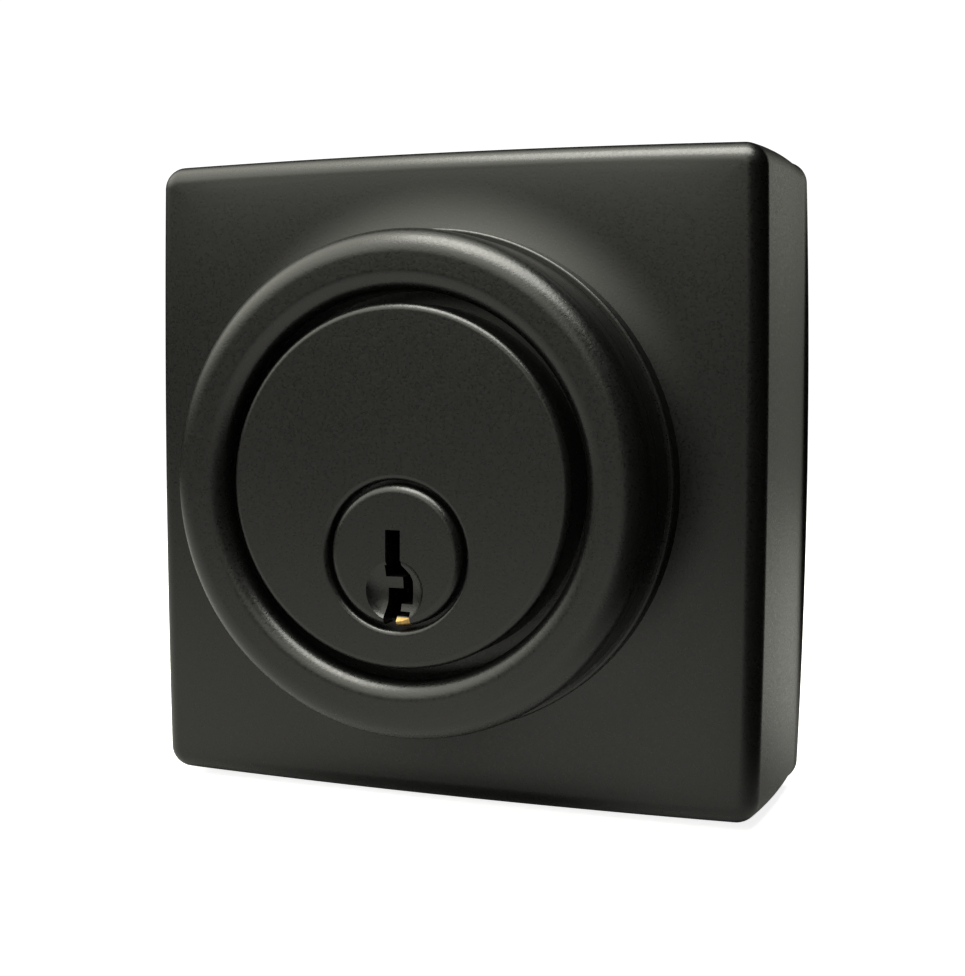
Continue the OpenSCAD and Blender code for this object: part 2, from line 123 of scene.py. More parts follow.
def loft(name, rings, closed=True):
    """Joins loops of points into one surface. A closed loft joins its last loop to its first; an
    open one gets a flat cap at each end."""
    bm = bmesh.new()
    rows = [[bm.verts.new(p) for p in ring] for ring in rings]
    count = len(rows[0])
    pairs = list(zip(rows, rows[1:]))
    if closed:
        pairs.append((rows[-1], rows[0]))
    for a, b in pairs:
        for k in range(count):
            n = (k + 1) % count
            bm.faces.new((a[k], a[n], b[n], b[k]))
    if not closed:
        bm.faces.new(rows[0])
        bm.faces.new(rows[-1])
    return new_object(name, bm)


def arc(cr, cs, r, start, end, steps=10):
    """Points of an arc in a profile, as (radius, s)."""
    turn = [math.radians(start + (end - start) * k / steps) for k in range(steps + 1)]
    return [(cr + r * math.cos(t), cs + r * math.sin(t)) for t in turn]


def circle_ring(r, s, centre_z=0.0, count=ROUND):
    turn = [2 * math.pi * (k + 0.5) / count for k in range(count)]
    return [point(r * math.cos(t), centre_z + r * math.sin(t), s) for t in turn]


def lathe(name, profile, centre_z=0.0, closed=True, count=ROUND):
    """Turns a profile of (radius, s) points about the Y direction."""
    return loft(name, [circle_ring(r, s, centre_z, count) for r, s in profile], closed)


def prism(name, outline, back, front):
    """Extrudes an outline of (x, z) points between two distances in front of the door."""
    return loft(name, [[point(x, z, s) for x, z in outline] for s in (back, front)], closed=False)


def upright_rod(name, r, y_s, low, high, count=64):
    """A round rod along Z, at distance y_s in front of the door."""
    turn = [2 * math.pi * k / count for k in range(count)]
    rings = [[point(r * math.cos(t), z, y_s + r * math.sin(t)) for t in turn] for z in (low, high)]
    return loft(name, rings, closed=False)


def evaluated(obj):
    """Replaces an object's mesh by the one its modifiers give."""
    depsgraph = bpy.context.evaluated_depsgraph_get()
    depsgraph.update()
    mesh = bpy.data.meshes.new_from_object(obj.evaluated_get(depsgraph))
    obj.modifiers.clear()
    old = obj.data
    obj.data = mesh
    bpy.data.meshes.remove(old)
    return obj


def combine(obj, operation, tools):
    """Cuts the tools from an object, or joins them to it, and removes the tools."""
    for tool in tools:
        modifier = obj.modifiers.new("combine", "BOOLEAN")
        modifier.operation = operation
        modifier.solver = "EXACT"
        modifier.object = tool
        bpy.context.view_layer.update()
        evaluated(obj)
        mesh = tool.data
        bpy.data.objects.remove(tool)
        bpy.data.meshes.remove(mesh)
    return obj


def shade(obj):
    """Smooth shading that keeps flats flat and edges over the limit sharp."""
    for polygon in obj.data.polygons:
        polygon.use_smooth = True
    obj.data.set_sharp_from_angle(angle=SMOOTH_ANGLE)
    modifier = obj.modifiers.new("weighted", "WEIGHTED_NORMAL")
    modifier.keep_sharp = True
    modifier.weight = 100
    bpy.context.view_layer.update()
    return evaluated(obj)


# ---------------------------------------------------------------- rosette
LIP_PROUD, LIP_LEN, LIP_EDGE = 0.25, 1.3, 0.3
SIDE_BOW, CORNER_R, EDGE_R = 0.35, 2.4, 2.0
FACE_CROWN = 0.3
FACE_T, WALL_T = 2.4, 2.2
NECK_R, NECK_EDGE = 25.35, 0.3
SWELL_R, SWELL_H = 30.2, 0.6
SIDE_MID, SIDE_BARREL = 8.0, 0.0022
SPIGOT_R, FIT = 22.4, 0.1
PER_SIDE, PER_CORNER = 36, 12
LIP_STEPS, SIDE_STEPS, FACE_STEPS, SWELL_STEPS = 8, 16, 14, 12
CAVITY_CORNER_R, BOSS_SINK = 1.5, 0.4
PLATE_INSET, PLATE_T = 0.3, 2.3
BOSS_R, BOSS_HOLE_R, BOSS_INSET = 3.5, 1.5, 4.8

body_half = half_w - LIP_PROUD
cavity_half = body_half - WALL_T - SIDE_BOW
cavity_front = face_s - FACE_T
boss_at = cavity_half - BOSS_INSET
plate_front = PLATE_INSET + PLATE_T


def square_outline(half, corner, bow):
    """(x, z) points of a square with bowed sides and round corners, ROUND of them."""
    tilt = math.atan(2 * bow / (half - bow - corner))
    reach = half - bow
    along = reach - corner * (math.cos(tilt) - math.sin(tilt))
    centre = reach - corner * math.cos(tilt)
    quarter = []
    for k in range(PER_SIDE):
        share = -1 + 2 * k / PER_SIDE
        quarter.append((half - bow * share * share, share * along))
    for k in range(PER_CORNER):
        turn = tilt + (math.pi / 2 - 2 * tilt) * k / PER_CORNER
        quarter.append((centre + corner * math.cos(turn), centre + corner * math.sin(turn)))
    points = list(quarter)
    for _ in range(3):
        quarter = [(-z, x) for x, z in quarter]
        points += quarter
    return points


def side_inset(s):
    """How far the slightly barrelled sides fall short of their fullest part."""
    return SIDE_BARREL * (s - SIDE_MID) ** 2


def square_ring(half, corner, bow, s):
    return [point(x, z, s) for x, z in square_outline(half, corner, bow)]


def square_to_round(square, r, steps):
    """Outlines that lead from a square in to a circle, without the square itself."""
    outlines = []
    for k in range(1, steps + 1):
        share = k / steps
        outline = []
        for x, z in square:
            turn = math.atan2(z, x)
            cx, cz = r * math.cos(turn), r * math.sin(turn)
            outline.append((x + (cx - x) * share, z + (cz - z) * share))
        outlines.append(outline)
    return outlines


def face_point(x, z, half, edge_s):
    """A point of the face, which is slightly crowned and swells up to the neck."""
    fall_x, fall_z = (min(1.0, abs(v) / half) ** 8 for v in (x, z))
    near = (SWELL_R - math.hypot(x, z)) / (SWELL_R - NECK_R)
    swell = SWELL_H * max(0.0, near) ** 2.4
    return point(x, z, edge_s + FACE_CROWN * (1 - fall_x) * (1 - fall_z) + swell)


def round_ring_like(square, r, s):
    """A circle whose points stand at the same angles as an outline's."""
    turns = [math.atan2(z, x) for x, z in square]
    return [point(r * math.cos(t), r * math.sin(t), s) for t in turns]


def make_rosette():
    rings = []
    # Flared back and sides
    rings.append(square_ring(half_w - LIP_EDGE, CORNER_R, SIDE_BOW + LIP_PROUD, 0))
    rings.append(square_ring(half_w - 0.05, CORNER_R, SIDE_BOW + LIP_PROUD, 0.02))
    rings.append(square_ring(half_w, CORNER_R, SIDE_BOW + LIP_PROUD, 0.08))
    for k in range(LIP_STEPS + 1):
        share = 1 - k / LIP_STEPS
        proud = LIP_PROUD * share * share
        s = LIP_EDGE + (LIP_LEN - LIP_EDGE) * k / LIP_STEPS
        half = body_half + proud - side_inset(LIP_LEN) * (1 - share)
        rings.append(square_ring(half, CORNER_R, SIDE_BOW + proud, s))
    face_edge_s = face_s - FACE_CROWN
    side_front = face_edge_s - EDGE_R
    for k in range(1, SIDE_STEPS):
        s = LIP_LEN + (side_front - LIP_LEN) * k / SIDE_STEPS
        rings.append(square_ring(body_half - side_inset(s), CORNER_R, SIDE_BOW, s))
    # Rounded front edge
    edge_half = body_half - side_inset(side_front)
    for r, s in arc(edge_half - EDGE_R, side_front, EDGE_R, 3, 90, 16):
        rings.append(square_ring(r, CORNER_R - (edge_half - r), SIDE_BOW, s))
    # Face, up to the foot of the neck
    face_half = edge_half - EDGE_R
    inner = square_outline(face_half, CORNER_R - EDGE_R, SIDE_BOW)
    outlines = square_to_round(inner, SWELL_R, FACE_STEPS)
    for k in range(1, SWELL_STEPS + 1):
        r = SWELL_R + (NECK_R - SWELL_R) * k / SWELL_STEPS
        outlines.append([(r * math.cos(t), r * math.sin(t))
                         for t in (math.atan2(z, x) for x, z in inner)])
    for outline in outlines:
        rings.append([face_point(x, z, face_half, face_edge_s) for x, z in outline])
    # Neck
    for r, s in arc(NECK_R - NECK_EDGE, neck_front - NECK_EDGE, NECK_EDGE, 0, 90, 6):
        rings.append(round_ring_like(inner, r, s))
    for s in (neck_front, cavity_front):
        rings.append(round_ring_like(inner, SPIGOT_R + FIT, s))
    # Inside
    cavity = square_outline(cavity_half, CAVITY_CORNER_R, 0.0)
    for outline in square_to_round(cavity, SPIGOT_R + FIT, 6)[-2::-1] + [cavity]:
        rings.append([point(x, z, cavity_front) for x, z in outline])
    rings.append([point(x, z, 0.0) for x, z in cavity])
    shell = loft("rosette_shell", rings)
    bosses = []
    for x in (-boss_at, boss_at):
        for z in (-boss_at, boss_at):
            profile = [(BOSS_HOLE_R, plate_front), (BOSS_R, plate_front),
                       (BOSS_R, cavity_front + BOSS_SINK), (BOSS_HOLE_R, cavity_front + BOSS_SINK)]
            boss = lathe("boss", profile, count=48)
            boss.data.transform(Matrix.Translation(point(x, z, 0)))
            bosses.append(boss)
    return shade(combine(shell, "UNION", bosses))


# ---------------------------------------------------------------- collar and guard ring
RAIL_R, WEB_T = 21.6, 3.0
OPENING_R = 18.9
HEAD_T = 5.3
SLEEVE_EDGE, SEAM_EDGE = 0.15, 0.35
WIRE_DEPTH, WIRE_PROUD, WIRE_T = 0.65, 0.6, 0.5
BARREL_R, BIBLE_W, BIBLE_H = 9.5, 10.4, 18.2
LUG_X, LUG_Z, LUG_R, LUG_WEB = 12.2, -5.0, 3.9, 5.0
FREE, RUN = 0.3, 0.05

head_back = head_front - HEAD_T
rail_front = sleeve_front + RAIL_LEN
wire_mid = sleeve_front + RAIL_LEN / 2


def groove(inner, outer, t):
    """Profile points of a square groove round the rail."""
    return [(outer, wire_mid - t / 2), (inner, wire_mid - t / 2),
            (inner, wire_mid + t / 2), (outer, wire_mid + t / 2)]


def barrel_solids(grow, back, front, lug_back):
    """The barrel, the bible, the lugs and their web, as separate solids."""
    def block(name, x, low, high):
        outline = [(-x, low), (x, low), (x, high), (-x, high)]
        return prism(name, outline, back, front)

    r = BARREL_R + grow
    barrel = lathe("barrel", [(r, back), (r, front)], plug_z, closed=False)
    solids = [barrel, block("bible", BIBLE_W / 2 + grow, plug_z, plug_z + BIBLE_H + grow)]
    solids.append(block("lug_web", LUG_X, LUG_Z - LUG_WEB / 2 - grow, LUG_Z + LUG_WEB / 2 + grow))
    for side in (-1, 1):
        lug = lathe("lug", [(LUG_R + grow, lug_back), (LUG_R + grow, front)], LUG_Z, False, 96)
        lug.data.transform(Matrix.Translation(point(side * LUG_X, 0, 0)))
        solids.append(lug)
    return solids


def make_collar():
    spigot_back = min(cavity_front, head_back - WEB_T)
    profile = [(OPENING_R, spigot_back), (SPIGOT_R, spigot_back), (SPIGOT_R, neck_front)]
    profile += [(sleeve_r - SLEEVE_EDGE, neck_front), (sleeve_r, neck_front + SLEEVE_EDGE)]
    profile += arc(sleeve_r - SEAM_EDGE, sleeve_front - SEAM_EDGE, SEAM_EDGE, 0, 90, 8)
    profile += [(RAIL_R, sleeve_front)]
    profile += groove(RAIL_R - WIRE_DEPTH - RUN, RAIL_R, WIRE_T + 2 * FIT)
    profile += [(RAIL_R, rail_front), (OPENING_R, rail_front)]
    profile += [(OPENING_R, head_back), (OPENING_R, head_back - WEB_T)]
    collar = lathe("collar_sleeve", profile)
    web_r = OPENING_R + WELD
    web = lathe("web", [(web_r, head_back - WEB_T), (web_r, head_back)], 0, False)
    combine(collar, "UNION", [web])
    back, front = head_back - WEB_T - CUT, head_back + CUT
    combine(collar, "DIFFERENCE", barrel_solids(FREE, back, front, back))
    return shade(collar)


RING_OUTER_ROUND, RING_INNER_ROUND, RING_BACK_EDGE = 2.5, 2.0, 0.55


def make_guard_ring():
    bore = RAIL_R + RUN
    profile = [(bore, ring_back)]
    profile += arc(ring_r - RING_BACK_EDGE, ring_back + RING_BACK_EDGE, RING_BACK_EDGE, 270, 360, 8)
    outer = ring_r - RING_OUTER_ROUND
    inner = OPENING_R + RING_INNER_ROUND
    profile += arc(outer, ring_front - RING_OUTER_ROUND, RING_OUTER_ROUND, 0, 90, 20)
    profile += arc(inner, ring_front - RING_INNER_ROUND, RING_INNER_ROUND, 90, 180, 20)
    profile += [(OPENING_R, rail_front + FREE), (bore, rail_front + FREE)]
    profile += groove(RAIL_R + WIRE_PROUD + FIT, bore, WIRE_T + 2 * FIT)[::-1]
    return shade(lathe("guard_ring_bead", profile))


# ---------------------------------------------------------------- cylinder body and plug
PLUG_R, FLANGE_T, STUB_R, STUB_LEN = 6.35, 1.8, 5.6, 3.6
HEAD_EDGE, FLANGE_GAP, FLANGE_CHAMFER, FLANGE_EDGE = 0.7, 0.4, 0.55, 0.85
PIN_FIRST, PIN_PITCH, PIN_COUNT, CHAMBER_R = 6.27, 3.81, 5, 1.5
COVER_W, COVER_T, COVER_MARGIN = 6.2, 0.9, 1.0
BODY_SCREW_R, BODY_SCREW_LEN = 2.0, 9.0
GUARD_PIN_R, GUARD_PIN_X, GUARD_PIN_Z, GUARD_PIN_SKIN = 1.5, 6.8, 2.6, 1.5
KEYWAY_BACK, CHAMBER_FLOOR = 6.5, -1.2      # the chambers' floor is taken from the plug's axis
POCKET_R, POCKET_LEN, BLADE_T = 4.6, 2.05, 2.3

plug_shoulder = plug_face - FLANGE_T
barrel_back = body_box["s"][0] + LUG_STEP
pin_places = [plug_shoulder - PIN_FIRST - PIN_PITCH * k for k in range(PIN_COUNT)]


def pin_chambers(low, high):
    return [upright_rod("chamber", CHAMBER_R, s, low, high) for s in pin_places]


def make_cylinder_body():
    profile = [(head_r, head_back)]
    profile += arc(head_r - HEAD_EDGE, head_front - HEAD_EDGE, HEAD_EDGE, 0, 90, 12)
    body = lathe("cylinder_case", profile, closed=False)
    lug_back = body_box["s"][0]
    combine(body, "UNION", barrel_solids(0.0, barrel_back, head_back + WELD, lug_back))
    mouth_r = plug_flange_r + FLANGE_GAP
    cut = [(PLUG_R + RUN, barrel_back - CUT), (PLUG_R + RUN, plug_shoulder - FIT),
           (mouth_r, plug_shoulder - FIT)]
    cut += arc(mouth_r + FLANGE_CHAMFER, head_front - FLANGE_CHAMFER, FLANGE_CHAMFER, 180, 90, 8)
    cut += [(mouth_r + FLANGE_CHAMFER, head_front + CUT)]
    tools = [lathe("bore", cut, plug_z, closed=False)]
    tools += pin_chambers(plug_z, plug_z + BIBLE_H + CUT)
    cover_front = min(pin_places[0] + CHAMBER_R + COVER_MARGIN, head_back - 0.01)
    cover_back = pin_places[-1] - CHAMBER_R - COVER_MARGIN - FIT
    x, top = COVER_W / 2 + FIT, plug_z + BIBLE_H
    slot_outline = [(-x, top - COVER_T), (x, top - COVER_T), (x, top + CUT), (-x, top + CUT)]
    tools.append(prism("cover_slot", slot_outline, cover_back, cover_front))
    for side in (-1, 1):
        depth = PLATE_INSET + BODY_SCREW_LEN + 0.5
        hole = lathe("hole", [(BODY_SCREW_R, lug_back - CUT), (BODY_SCREW_R, depth)],
                     LUG_Z, False, 64)
        hole.data.transform(Matrix.Translation(point(side * LUG_X, 0, 0)))
        blind = head_back + HEAD_T - GUARD_PIN_SKIN
        guard = lathe("guard", [(GUARD_PIN_R, head_back - CUT), (GUARD_PIN_R, blind)],
                      GUARD_PIN_Z, False, 64)
        guard.data.transform(Matrix.Translation(point(side * GUARD_PIN_X, 0, 0)))
        tools += [hole, guard]
    return shade(combine(body, "DIFFERENCE", tools))


# The keyway's outline, from the front, about the plug's axis
KEYWAY = [
    (-0.95, 2.5), (0.6, 2.5), (0.6, -0.9), (1.45, -1.8), (1.7, -2.4), (1.7, -4.7),
    (0.45, -4.7), (0.45, -5.4), (1.5, -5.4), (1.5, -5.85), (0.15, -5.85), (0.15, -8),
    (-1.25, -8), (-1.2, -5.8), (-0.95, -4.6), (-0.95, -3.2), (0.6, -3.2), (0.6, -2.1),
    (-1.15, -2.1), (-1.15, -0.95), (-0.95, -0.95),
]
DISH_R, DISH_DEPTH, DISH_Z, DISH_TOP_Z, DISH_STEPS = 3.0, 0.9, -3.4, -0.2, 14


def teardrop(scale, count=96):
    """(x, z) points of the dish's outline, about the plug's axis: a circle with a pointed top."""
    rise = DISH_TOP_Z - DISH_Z
    lean = math.acos(DISH_R / rise)
    points = []
    for k in range(count):
        turn = math.pi / 2 + 2 * math.pi * k / count
        off = abs(math.atan2(math.cos(turn), math.sin(turn)))
        reach = DISH_R if off > lean else DISH_R / math.cos(lean - off)
        points.append((scale * reach * math.cos(turn), DISH_Z + scale * reach * math.sin(turn)))
    return points


def make_dish_tool():
    """The teardrop dish: rings that shrink and deepen like a shallow bowl."""
    rings = [[point(x, plug_z + z, plug_face + CUT) for x, z in teardrop(1.0)]]
    for k in range(DISH_STEPS):
        share = 1 - k / DISH_STEPS
        depth = DISH_DEPTH * (1 - share * share) ** 0.75
        rings.append([point(x, plug_z + z, plug_face - depth) for x, z in teardrop(share)])
    return loft("dish", rings, closed=False)


def pocket_outline():
    """The lost-motion pocket: a bow tie of two quarters and the blade's two end positions."""
    bar = BLADE_T / 2 + FIT
    start = math.asin(bar / POCKET_R)
    points = []
    for base in (math.pi / 2, 3 * math.pi / 2):
        for k in range(25):
            turn = base - start + (math.pi / 2 + 2 * start) * k / 24
            points.append((POCKET_R * math.cos(turn), POCKET_R * math.sin(turn)))
        corner = base + math.pi / 2
        c, s = math.cos(corner), math.sin(corner)
        points.append((bar * (c - s), bar * (s + c)))
    return points


def make_plug():
    profile = [(STUB_R, plug_back), (STUB_R, plug_back + STUB_LEN), (PLUG_R, plug_back + STUB_LEN)]
    profile += [(PLUG_R, plug_shoulder), (plug_flange_r, plug_shoulder)]
    profile += arc(plug_flange_r - FLANGE_EDGE, plug_face - FLANGE_EDGE, FLANGE_EDGE, 0, 90, 10)
    plug = lathe("plug_core_brass", profile, plug_z, closed=False)
    keyway = prism("keyway", [(x, plug_z + z) for x, z in KEYWAY], KEYWAY_BACK, plug_face + CUT)
    pocket = prism("pocket", [(x, plug_z + z) for x, z in pocket_outline()],
                   plug_back - CUT, plug_back + POCKET_LEN)
    tools = [make_dish_tool(), keyway, pocket]
    tools += pin_chambers(plug_z + CHAMBER_FLOOR, plug_z + PLUG_R + CUT)
    return shade(combine(plug, "DIFFERENCE", tools))


# ---------------------------------------------------------------- plate, posts, screws, cap, blade
POST_X, POST_R, POST_STEP, POST_COLLAR, POST_LEN = 19.05, 3.9, 1.0, 0.8, 24.0
POST_HOLE_R, POST_HOLE_LEN, THREAD_PITCH, THREAD_DEPTH = 2.1, 16.0, 0.8, 0.3
SCREW_HEAD_R, SCREW_HEAD_H, CORNER_HEAD_R, CORNER_HEAD_H = 3.4, 1.7, 3.0, 1.5
CAP_R, CAP_GAP, CAP_BORE_R, CAP_OPENING_R, CAP_LIP_T = 7.9, 0.9, 5.65, 4.4, 1.3
BLADE_W, BLADE_TIP, BLADE_EDGE, TAIL_HEAD_T, TANG_LEN = 7.0, 1.2, 0.35, 1.1, 1.9
PLATE_CORNER_R, PLATE_SCREW_LEN = 1.8, 9.0
FINE_THREAD_DEPTH, FINE_THREAD_PITCH = 0.22, 0.6
COIN_TEETH, COIN_DEPTH, TAIL_HEAD_EDGE = 60, 0.18, 0.12

cap_box = edges_of("plug_cap")
blade_box = edges_of("tail_blade")


def shifted(obj, x, z):
    obj.data.transform(Matrix.Translation(point(x, z, 0)))
    return obj


def joined(name, objects):
    """Joins separate solids into one object without changing them."""
    bm = bmesh.new()
    for obj in objects:
        bm.from_mesh(obj.data)
        mesh = obj.data
        bpy.data.objects.remove(obj)
        bpy.data.meshes.remove(mesh)
    return new_object(name, bm)


def chamfered_hole(r, centre_z=0.0, chamfer=0.25, count=96):
    """A tool that cuts a hole with broken edges through the backing plate."""
    back, front = PLATE_INSET, plate_front
    profile = [(r + chamfer, back - 1), (r + chamfer, back), (r, back + chamfer),
               (r, front - chamfer), (r + chamfer, front), (r + chamfer, front + 1)]
    return lathe("hole", profile, centre_z, False, count)


def make_backing_plate():
    half = cavity_half - FREE
    profile = [(0.25, 0.0), (0.07, 0.07), (0.0, 0.25)]
    steps = [(inset, PLATE_INSET + s) for inset, s in profile]
    steps += [(inset, plate_front - s) for inset, s in profile[::-1]]
    rings = [square_ring(half - inset, PLATE_CORNER_R, 0.0, s) for inset, s in steps]
    plate = loft("backing_plate_steel", rings, closed=False)
    tools = [chamfered_hole(CAP_R + CAP_GAP, plug_z)]
    for side in (-1, 1):
        tools.append(shifted(chamfered_hole(BODY_SCREW_R + FIT, LUG_Z), side * LUG_X, 0))
        tools.append(shifted(chamfered_hole(POST_R - POST_STEP, 0, 0.02), side * POST_X, 0))
        for up in (-1, 1):
            back = PLATE_INSET
            sink = [(CORNER_HEAD_R + FIT + 0.1, back - 1), (CORNER_HEAD_R + FIT, back),
                    (BOSS_HOLE_R + FIT, back + CORNER_HEAD_H), (BOSS_HOLE_R + FIT, back + 4)]
            tools.append(shifted(lathe("sink", sink, 0, False, 96), side * boss_at, up * boss_at))
    return shade(combine(plate, "DIFFERENCE", tools))


def thread(r, start, end, depth=THREAD_DEPTH, pitch=THREAD_PITCH):
    """Profile points of thread ridges between two places along the axis."""
    step = pitch if end > start else -pitch
    count = int(abs(end - start) / pitch)
    points = []
    for k in range(count):
        points += [(r - depth, start + step * k), (r, start + step * (k + 0.5))]
    return points + [(r - depth, start + step * count)]


def make_post(side):
    """One post: a threaded blind hole, a stepped neck through the plate and a riveted collar."""
    back = -POST_LEN
    bottom = back + POST_HOLE_LEN
    neck = POST_R - POST_STEP
    profile = [(0.1, bottom), (POST_HOLE_R - THREAD_DEPTH, bottom)]
    profile += thread(POST_HOLE_R, bottom - 0.6, back + 0.8)
    profile += [(POST_HOLE_R, back + 0.5), (POST_HOLE_R + 0.4, back), (POST_R - 0.5, back)]
    profile += [(POST_R, back + 0.5), (POST_R, PLATE_INSET - 0.15), (POST_R - 0.15, PLATE_INSET)]
    profile += [(neck, PLATE_INSET), (neck, plate_front), (POST_R - 0.1, plate_front)]
    profile += arc(POST_R - 0.4, plate_front + POST_COLLAR - 0.4, 0.4, 0, 90, 6)
    return shifted(lathe("post", profile, 0, False, 96), side * POST_X, 0)


def make_mounting_posts():
    return shade(joined("mounting_posts_steel", [make_post(-1), make_post(1)]))


def cross_recess(x, z, back, head_r):
    """Two crossed tapered wedges that cut the recess for a screwdriver."""
    reach, slot, depth = 0.58 * head_r, 0.13 * head_r, 0.45 * head_r
    tools = []
    for a, b in ((reach, slot), (slot, reach)):
        rings = []
        for s, share in ((back - 1, 1.0), (back + 0.1, 1.0), (back + depth, 0.55)):
            u, v = a * share, b * share
            rings.append([point(x + p * u, z + q * v, s)
                          for p, q in ((-1, -1), (1, -1), (1, 1), (-1, 1))])
        tools.append(loft("recess", rings, closed=False))
    return tools


def make_body_screw(side):
    """A pan-head screw with a domed head and a threaded shank."""
    back = PLATE_INSET - SCREW_HEAD_H
    tip = PLATE_INSET + BODY_SCREW_LEN
    profile = [(0.1, back), (SCREW_HEAD_R - 1.6, back + 0.04), (SCREW_HEAD_R - 0.75, back + 0.22)]
    profile += [(SCREW_HEAD_R - 0.28, back + 0.55), (SCREW_HEAD_R, back + 1.05)]
    profile += [(SCREW_HEAD_R, PLATE_INSET - 0.08), (SCREW_HEAD_R - 0.08, PLATE_INSET)]
    profile += [(BODY_SCREW_R, PLATE_INSET), (BODY_SCREW_R, PLATE_INSET + 0.8)]
    profile += thread(BODY_SCREW_R, PLATE_INSET + 1.0, tip - 0.5) + [(BODY_SCREW_R - 0.6, tip)]
    screw = shifted(lathe("screw", profile, LUG_Z, False, 72), side * LUG_X, 0)
    return combine(screw, "DIFFERENCE", cross_recess(side * LUG_X, LUG_Z, back, SCREW_HEAD_R))


def make_plate_screw(x, z):
    """A countersunk screw with a flat head."""
    back, r = PLATE_INSET, BOSS_HOLE_R
    tip = back + PLATE_SCREW_LEN
    profile = [(0.1, back), (CORNER_HEAD_R - 0.1, back), (CORNER_HEAD_R, back + 0.1)]
    profile += [(r, back + CORNER_HEAD_H), (r, back + CORNER_HEAD_H + 0.6)]
    profile += thread(r, back + CORNER_HEAD_H + 0.8, tip - 0.5,
                      FINE_THREAD_DEPTH, FINE_THREAD_PITCH)
    profile += [(r - 0.6, tip)]
    screw = shifted(lathe("screw", profile, 0, False, 72), x, z)
    return combine(screw, "DIFFERENCE", cross_recess(x, z, back, CORNER_HEAD_R))


def make_body_screws():
    return shade(joined("body_screws_steel", [make_body_screw(-1), make_body_screw(1)]))


def make_plate_screws():
    corners = [(x, z) for x in (-boss_at, boss_at) for z in (-boss_at, boss_at)]
    return shade(joined("plate_screws_steel", [make_plate_screw(x, z) for x, z in corners]))


def make_plug_cap():
    """The cap on the back of the plug, with a coin edge to grip it by."""
    back, front = cap_box["s"]
    count = 4 * COIN_TEETH
    # (radius, s, 1 where the coin edge is cut)
    profile = [(CAP_OPENING_R + 0.2, back, 0), (CAP_R - 0.75, back, 0),
               (CAP_R - 0.35, back + 0.3, 0), (CAP_R, back + 0.6, 1),
               (CAP_R, front - 0.6, 1), (CAP_R - 0.35, front - 0.3, 0),
               (CAP_R - 0.75, front, 0), (CAP_BORE_R + 0.2, front, 0),
               (CAP_BORE_R, front - 0.2, 0), (CAP_BORE_R, back + CAP_LIP_T, 0),
               (CAP_OPENING_R, back + CAP_LIP_T, 0), (CAP_OPENING_R, back + 0.2, 0)]
    rings = []
    for r, s, knurled in profile:
        low = circle_ring(r - COIN_DEPTH * knurled, s, plug_z, count)
        high = circle_ring(r, s, plug_z, count)
        rings.append([low[k] if k % 4 < 2 else high[k] for k in range(count)])
    return shade(loft("plug_cap_brass", rings))


def blade_ring(half_x, half_z, s):
    """A rounded oblong across the blade."""
    r, points = BLADE_EDGE, []
    for x, z, start in ((1, 1, 0), (-1, 1, 90), (-1, -1, 180), (1, -1, 270)):
        for k in range(7):
            turn = math.radians(start + 15 * k)
            points.append(point(x * (half_x - r) + r * math.cos(turn),
                                plug_z + z * (half_z - r) + r * math.sin(turn), s))
    return points


def make_tail_blade():
    """The blade's round head with its tang in the plug, and the long flat blade."""
    tip, front = blade_box["s"]
    disc_front = front - TANG_LEN
    disc_back = disc_front - TAIL_HEAD_T
    x, z = BLADE_T / 2, BLADE_W / 2
    steps = [(x - 0.25, z - BLADE_TIP - 0.2, tip), (x, z - BLADE_TIP, tip + 0.25),
             (x, z, tip + BLADE_TIP + 0.2), (x, z, disc_back + 0.3)]
    blade = loft("tail_blade_steel", [blade_ring(*step) for step in steps], closed=False)
    tang_z = POCKET_R - FIT
    tang_steps = [(x, tang_z, disc_front - 0.3), (x, tang_z - 0.05, front - 0.3),
                  (x - 0.2, tang_z - 0.4, front)]
    tang = loft("tang", [blade_ring(*step) for step in tang_steps], closed=False)
    r, edge = CAP_BORE_R - FIT, TAIL_HEAD_EDGE
    disc = lathe("tail_head", [(r - edge, disc_back), (r, disc_back + edge),
                               (r, disc_front - edge), (r - edge, disc_front)],
                 plug_z, closed=False)
    return shade(combine(blade, "UNION", [disc, tang]))


# ---------------------------------------------------------------- materials
def material(name):
    """A new node material with its main shader and a texture coordinate in the frame's metres."""
    mat = bpy.data.materials.new(name)
    mat.use_nodes = True
    nodes, links = mat.node_tree.nodes, mat.node_tree.links
    shader = nodes["Principled BSDF"]
    place = nodes.new("ShaderNodeTexCoord").outputs["Object"]
    return mat, nodes, links, shader, place


def noise(nodes, links, place, size_mm, detail=2.0, roughness=0.5):
    """Noise whose features are about size_mm wide."""
    node = nodes.new("ShaderNodeTexNoise")
    node.inputs["Scale"].default_value = 1 / (size_mm * MM)
    node.inputs["Detail"].default_value = detail
    node.inputs["Roughness"].default_value = roughness
    links.new(place, node.inputs["Vector"])
    return node.outputs["Fac"]


def ramp(nodes, links, source, stops):
    """Maps a value through a colour ramp of (position, colour) stops; a number makes a grey."""
    node = nodes.new("ShaderNodeValToRGB")
    elements = node.color_ramp.elements
    while len(elements) < len(stops):
        elements.new(0.5)
    for element, (position, colour) in zip(elements, stops):
        element.position = position
        rgb = colour if isinstance(colour, tuple) else (colour, colour, colour)
        element.color = (*rgb, 1)
    links.new(source, node.inputs["Fac"])
    return node.outputs["Color"]


def smooth_mask(nodes, links, source, low, high, base=0.0, top=1.0):
    """Goes smoothly from base to top as the source goes from low to high."""
    node = nodes.new("ShaderNodeMapRange")
    node.interpolation_type = "SMOOTHSTEP"
    node.inputs["From Min"].default_value = low
    node.inputs["From Max"].default_value = high
    node.inputs["To Min"].default_value = base
    node.inputs["To Max"].default_value = top
    links.new(source, node.inputs["Value"])
    return node.outputs["Result"]


